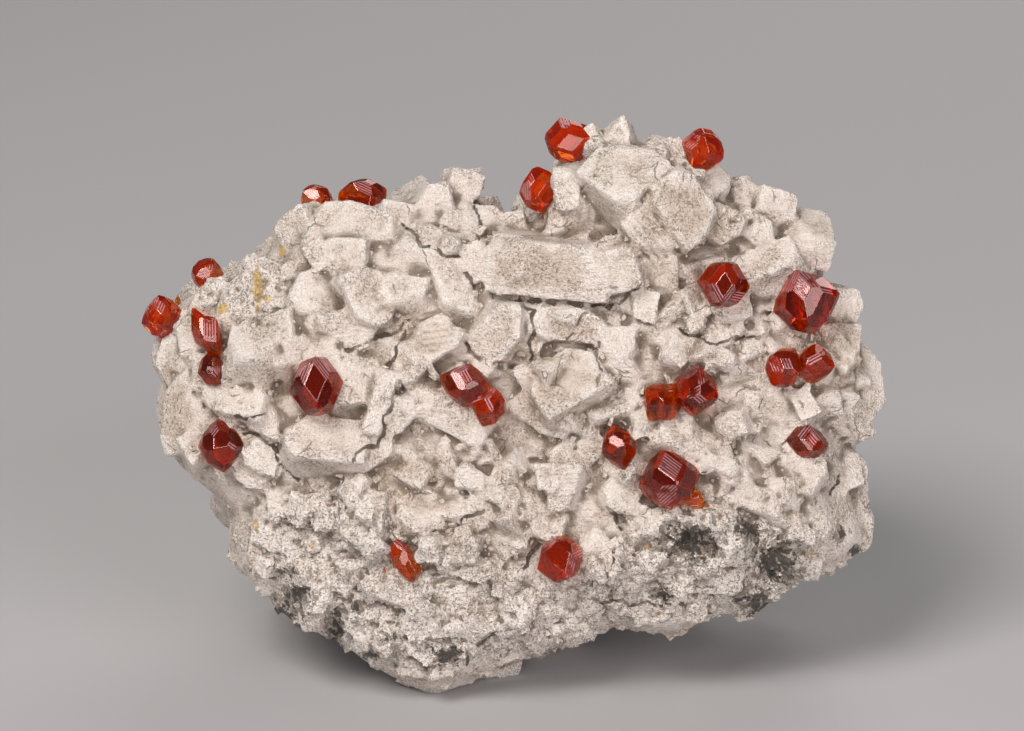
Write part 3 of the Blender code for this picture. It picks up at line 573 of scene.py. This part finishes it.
dark = (mineral + (chalk.noise(0.8, 3, 0.55) - 0.5) * 4.6).ramp(0.24, 0.34)
colour = chalk.mix(dark * 0.85, colour, MICA_BLACK)


RIB_WIDTH = 0.4


def ribs(stretch):
    """Noise as wide as a rib, drawn out along the axis whose factor is below 1."""
    factors = {0: chalk.place, 1: stretch}
    drawn_out = chalk.node("ShaderNodeVectorMath", {"operation": "MULTIPLY"}, factors)
    values = {"Vector": drawn_out, "Scale": 1 / (RIB_WIDTH * MM), "Detail": 1.5}
    return chalk.node("ShaderNodeTexNoise", values=values)


upright_here = chalk.noise(7.0, 1).ramp(0.46, 0.54)
lines = ribs((1, 1, 0.14)) * upright_here + ribs((0.14, 1, 1)) * (1 - upright_here)
heights = chalk.noise(0.9, 4, 0.8) * 0.50 + chalk.noise(0.25, 2, 0.7) * 0.40 + lines * 0.30
relief = chalk.bump(heights - shaded_openings * 0.3, 1.0)
chalk.set(Base_Color=colour, Roughness=0.92 - dark * 0.45, Normal=relief)
matrix.data.materials.clear()
matrix.data.materials.append(chalk.material)
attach(matrix, "root")
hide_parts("matrix")


# Loose-looking grains of the same feldspar, a few of quartz among them, stick in the hollows and
# all over the granular parts of the matrix. They have grown fast to it.
GRAINS = 7000
SMALLEST_GRAIN = 0.25
LARGEST_GRAIN = 1.7
SMALL_FAVOURED = 3.2  # the higher, the more of the grains are small
BLOCKY_SHARE = 0.4  # of the grains, the rest being rounder
PALE_CREVICE = 0.04  # as if in a slight hollow, which shades the grains a little
BATCH = 100  # grains made in one small mesh, which is quick to add to
points = vertex_values(matrix.data)
across, up, out = seen_places(points)
low_edge = smooth_step(-14, -26, up)
granular_here = smooth_step(-0.2, 0.4, patch_strength(across, up, GRANULAR_ZONES))
likely = 0.03 + np.clip(crevices, 0, 1) * 2.5 + 0.6 * granular_here + 0.5 * low_edge
places = list(chosen_places(matrix.data, likely, GRAINS))
grain_shape = bmesh.new()
for start in range(0, GRAINS, BATCH):
    shape = bmesh.new()
    for point, normal in places[start:start + BATCH]:
        share = rng.random() ** SMALL_FAVOURED
        size = (SMALLEST_GRAIN + (LARGEST_GRAIN - SMALLEST_GRAIN) * share) * MM
        if not clear_of_garnets(point, size * 0.6):
            continue
        if rng.random() < BLOCKY_SHARE:
            add_little_crystal(shape, point, normal, size, 0.3)
        else:
            add_grain(shape, point, normal, size, 0.2)
    batch_mesh = bpy.data.meshes.new("batch")
    shape.to_mesh(batch_mesh)
    shape.free()
    grain_shape.from_mesh(batch_mesh)
    bpy.data.meshes.remove(batch_mesh)
bmesh.ops.recalc_face_normals(grain_shape, faces=grain_shape.faces)
grain_mesh = bpy.data.meshes.new("matrix_grains")
grain_shape.to_mesh(grain_mesh)
grain_shape.free()
points = vertex_values(grain_mesh)
points[:, 2] = np.maximum(points[:, 2], 0)
set_points(grain_mesh, points)
grains = link("matrix_grains", grain_mesh)
add_values(grain_mesh, "crevice", np.full(len(grain_mesh.vertices), PALE_CREVICE))
add_patch_values(grain_mesh)
grain_mesh.materials.append(chalk.material)
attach(grains, "root")


# Each garnet is a natural crystal of 12 rhombic and 24 kite-shaped faces, glassy, deep red where it
# is thick and orange where it is thin. Fine ridges of growth run over some of its faces, and the
# rock it has grown in holds it.
GARNET_IOR = 1.80
EDGE_WEAR = 0.05 * MM
ABSORBED = (0.97, 0.60, 0.0, 1)  # what the crystal lets through, as a colour
ABSORPTION = 800.0  # per metre
# Faces with fine ridges of growth, by where they look: across and up parts of their normals.
RIDGED_FACES = {
    "garnet_far_left": ((0.0, 0.5), (-0.6, 0.5)), "garnet_left_shoulder": ((0.2, 0.5), (-0.4, 0.0)),
    "garnet_left_pair": ((0.5, 0.1), (0.1, 0.6)), "garnet_lower_left": ((-0.2, 0.5), (0.55, 0.1)),
    "garnet_left_centre": ((-0.1, 0.6), (-0.6, 0.3), (0.5, 0.45)), "garnet_crest_small": ((0.0, 0.6),),
    "garnet_crest_left": ((0.0, 0.6),), "garnet_centre_pair": ((0.0, 0.5), (-0.3, 0.6)),
    "garnet_notch": ((-0.55, 0.1), (-0.3, 0.6)), "garnet_peak_left": ((-0.3, 0.65),),
    "garnet_peak_right": ((-0.5, 0.5),), "garnet_upper_right": ((-0.45, -0.4), (0.45, -0.4)),
    "garnet_large_right": ((-0.35, 0.4), (0.35, 0.4), (-0.1, 0.0)),
    "garnet_right_twins": ((0.1, 0.4), (-0.4, -0.1)),
    "garnet_right_pair": ((0.4, 0.5), (0.2, -0.1)), "garnet_middle": ((-0.4, 0.2),),
    "garnet_large_lower": ((0.0, 0.5), (0.05, -0.5)), "garnet_lower_right": ((-0.3, 0.3), (0.3, 0.4)),
    "garnet_bottom": ((0.7, 0.1), (-0.5, 0.5), (0.3, -0.6)), "garnet_sliver": ((0.0, 0.6),),
}
RIDGED_WITHIN = 0.32  # of those parts, how far a face may be
FLAWED_RED = (0.54, 0.026, 0.001, 1)
FLAWED_ORANGE = (0.76, 0.17, 0.006, 1)
# A painted lilac sheen for the crests of the growth ridges.
PAINTED_LILAC_SHEEN = (0.60, 0.41, 0.44, 1)
# Garnets with more flaws inside, which throw back more light.
BRIGHT_GARNETS = (
    "garnet_bottom", "garnet_notch", "garnet_peak_left", "garnet_peak_right", "garnet_right_twins",
)
MORE_FLAWED = 0.5
MOST_FLAWED = 1.5  # of a face, before that is added

glass = Finish("spessartine")
outer = glass.value("outer")
tint = glass.mix(outer.ramp(0.1, 1.0), (1.0, 0.82, 0.66, 1), (1.0, 0.70, 0.30, 1))
glass.set(Base_Color=tint, IOR=GARNET_IOR, Transmission_Weight=1.0, Specular_Tint=(1.0, 0.72, 0.68, 1))
growth = glass.node("ShaderNodeUVMap", {"uv_map": "growth"})
ridge_values = {"Vector": growth, "Scale": 0.9, "Distortion": 1.0, "Detail": 2.0, "Detail Scale": 2.0}
ridge_shape = {"bands_direction": "X", "wave_profile": "SAW"}
ridges = glass.node("ShaderNodeTexWave", ridge_shape, ridge_values, "Fac")
striated = glass.value("striated") * glass.noise(1.6, 2).ramp(0.3, 0.5)
surface = glass.bump(ridges * striated, 0.05, 0.8)
surface = glass.bump(glass.noise(0.9, 3), 0.025, 0.5, normal=surface)
glass.set(Roughness=0.02 + striated * 0.10, Normal=surface)
# Flaws inside throw some of the light back plain red, or orange towards the rims, and the crests of the
# ridges carry a painted lilac sheen, a diffuse colour that stands in for the reflection on them.
edge_on = (outer + (glass.noise(2.2, 2) - 0.5) * 0.8).ramp(0.25, 0.75)
flawed = glass.mix(edge_on, FLAWED_RED, FLAWED_ORANGE)
crests = ridges.ramp(0.3, 0.75) * striated
flaws_and_sheen = glass.node("ShaderNodeBsdfPrincipled", values={
    "Base Color": glass.mix(crests * 0.8, flawed, PAINTED_LILAC_SHEEN), "Roughness": 0.45, "IOR": GARNET_IOR,
    "Specular IOR Level": 0.0, "Normal": surface}, output="BSDF")
flaws_and_sheen_share = 0.04 + glass.value("flawed") * 0.20 + edge_on * 0.24 + crests * 0.44
clear = Wire(glass, glass.shader.outputs[0])
surface_shader = glass.node("ShaderNodeMixShader", values={0: flaws_and_sheen_share, 1: clear, 2: flaws_and_sheen})
depths = glass.node("ShaderNodeVolumeAbsorption", values={"Color": ABSORBED, "Density": ABSORPTION})
outlet = glass.tree.nodes["Material Output"]
glass.feed(outlet.inputs["Surface"], surface_shader)
glass.feed(outlet.inputs["Volume"], depths)


def flat_faces(shape):
    """Turn a crystal's triangles back into its faces."""
    bmesh.ops.dissolve_limit(shape, angle_limit=math.radians(1.5), verts=shape.verts, edges=shape.edges)


def lay_growth_lines(shape):
    """Give each face a UV frame in millimetres with its U across the face's longest edge."""
    layer = shape.loops.layers.uv.new("growth")
    for face in shape.faces:
        longest = max(face.edges, key=lambda edge: edge.calc_length())
        along = (longest.verts[1].co - longest.verts[0].co).normalized()
        over = face.normal.cross(along)
        for loop in face.loops:
            loop[layer].uv = (loop.vert.co.dot(over) / MM, loop.vert.co.dot(along) / MM)


def choose_finishes(shape, ridged_faces, flawed):
    """Mark ridged faces with 1 and smooth ones with 0, and how flawed the crystal is below each."""
    ridged = shape.faces.layers.float.new("striated")
    flaws = shape.faces.layers.float.new("flawed")
    for face in shape.faces:
        looks = Vector((face.normal.x, face.normal.dot(Vector(FACE_UP))))
        to_viewer = face.normal.dot(Vector(FACE_OUT))
        near = any((looks - Vector(place)).length < RIDGED_WITHIN for place in ridged_faces)
        face[ridged] = float(near and to_viewer > 0)
        face[flaws] = MOST_FLAWED * rng.random() ** 2 + flawed  # squared, so that few are bright


for name in GARNETS:
    shape = copied_shape(name)
    flat_faces(shape)
    lay_growth_lines(shape)
    choose_finishes(shape, RIDGED_FACES[name], MORE_FLAWED if name in BRIGHT_GARNETS else 0)
    bmesh.ops.bevel(shape, geom=shape.edges[:], offset=EDGE_WEAR, segments=1, profile=0.5,
                    affect="EDGES", material=-1)
    bmesh.ops.recalc_face_normals(shape, faces=shape.faces)
    if shape.calc_volume(signed=True) < 0:
        bmesh.ops.reverse_faces(shape, faces=shape.faces)
    mesh = bpy.data.meshes.new(f"{name}_crystal")
    shape.to_mesh(mesh)
    shape.free()
    mesh.materials.append(glass.material)
    low, high = (np.array(corner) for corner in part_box(name))
    depth = (vertex_values(mesh) - (low + high) / 2) @ -FACE_OUT / (0.5 * (high - low).mean())
    add_values(mesh, "outer", np.clip(0.5 + depth, 0, 1))
    crystal = link(f"{name}_crystal", mesh)
    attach(crystal, "root")
    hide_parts(name)


# Broken bits of garnet, small and so more orange, sit on the rock beside some of the crystals, and
# the rock holds them. Each bit's place is given across and up, with its size, in millimetres.
GARNET_BITS = (
    (-42.3, 7.5, 1.7), (-41.6, 8.1, 1.2), (-36.7, 3.7, 1.2), (-36.4, 2.9, 0.9),
    (-14.6, -24.9, 1.1), (24.2, -17.6, 0.9), (-15.9, -25.6, 0.8), (7.4, 25.6, 1.2),
)
BIT_SUNK = -0.05  # of its size, so that most of a bit stands out
matrix_tree = BVHTree.FromPolygons([vert.co for vert in matrix.data.vertices],
                                   [face.vertices[:] for face in matrix.data.polygons])
viewpoint = Vector(FACE_MIDDLE + FACE_OUT * VIEW_DISTANCE)
shape = bmesh.new()
for seen_across, seen_up, size in GARNET_BITS:
    target = Vector(FACE_MIDDLE + np.array((seen_across * MM, 0, 0)) + FACE_UP * seen_up * MM)
    point, normal, _, _ = matrix_tree.ray_cast(viewpoint, target - viewpoint)
    if point:
        add_grain(shape, point, normal, size * MM, BIT_SUNK)
bmesh.ops.recalc_face_normals(shape, faces=shape.faces)
bits_mesh = bpy.data.meshes.new("garnet_bits")
shape.to_mesh(bits_mesh)
shape.free()
bits = link("garnet_bits", bits_mesh)
add_values(bits_mesh, "outer", np.ones(len(bits_mesh.vertices)))
bits_mesh.materials.append(glass.material)
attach(bits, "root")


# The specimen stands on a plain pale floor. A panel of soft light stands high on the left, and
# weaker ones on the right, low in front and behind.
FLOOR_RADIUS = 12  # metres
floor_shape = bmesh.new()
bmesh.ops.create_circle(floor_shape, cap_ends=True, segments=96, radius=FLOOR_RADIUS)
floor_mesh = bpy.data.meshes.new("floor")
floor_shape.to_mesh(floor_mesh)
floor_shape.free()
floor = link("floor", floor_mesh)
paper = Finish("pale_floor")
paper.set(Base_Color=(0.42, 0.415, 0.42, 1), Roughness=0.9)
floor.data.materials.append(paper.material)


def add_panel(name, place, target, size, power, colour):
    """A square panel of soft light."""
    light = bpy.data.lights.new(name, "AREA")
    light.size = size
    light.energy = power
    light.color = colour
    panel = bpy.data.objects.new(name, light)
    panel.location = place
    panel.rotation_euler = (Vector(target) - Vector(place)).to_track_quat("-Z", "Y").to_euler()
    bpy.context.scene.collection.objects.link(panel)


MIDDLE = (0, 0, 0.036)
add_panel("key", (-0.34, -0.46, 0.70), MIDDLE, 0.40, 6.6, (1.0, 0.955, 0.92))
add_panel("fill", (0.46, -0.64, 0.34), MIDDLE, 0.50, 3.3, (0.98, 0.93, 0.94))
add_panel("low_fill", (-0.10, -0.85, 0.12), MIDDLE, 0.45, 3.0, (1.0, 0.95, 0.94))
add_panel("back", (0.20, 0.60, 0.50), MIDDLE, 0.50, 2.0, (1.0, 0.97, 0.94))
bpy.context.scene.view_settings.view_transform = "Standard"
world = bpy.data.worlds.new("studio")
bpy.context.scene.world = world
world.use_nodes = True
world.node_tree.nodes["Background"].inputs["Color"].default_value = (0.80, 0.80, 0.83, 1)
world.node_tree.nodes["Background"].inputs["Strength"].default_value = 0.11


# The camera looks along the display face's own line, from the distance that its places are read at.
LENS = 135
camera_data = bpy.data.cameras.new("camera")
camera_data.lens = LENS
camera_data.sensor_width = 36
camera_data.clip_start = 0.01
camera = bpy.data.objects.new("camera", camera_data)
camera.location = Vector(FACE_MIDDLE + FACE_OUT * VIEW_DISTANCE)
camera.rotation_euler = (math.pi / 2 - FACE_LEAN, 0, 0)
bpy.context.scene.collection.objects.link(camera)
bpy.context.scene.camera = camera
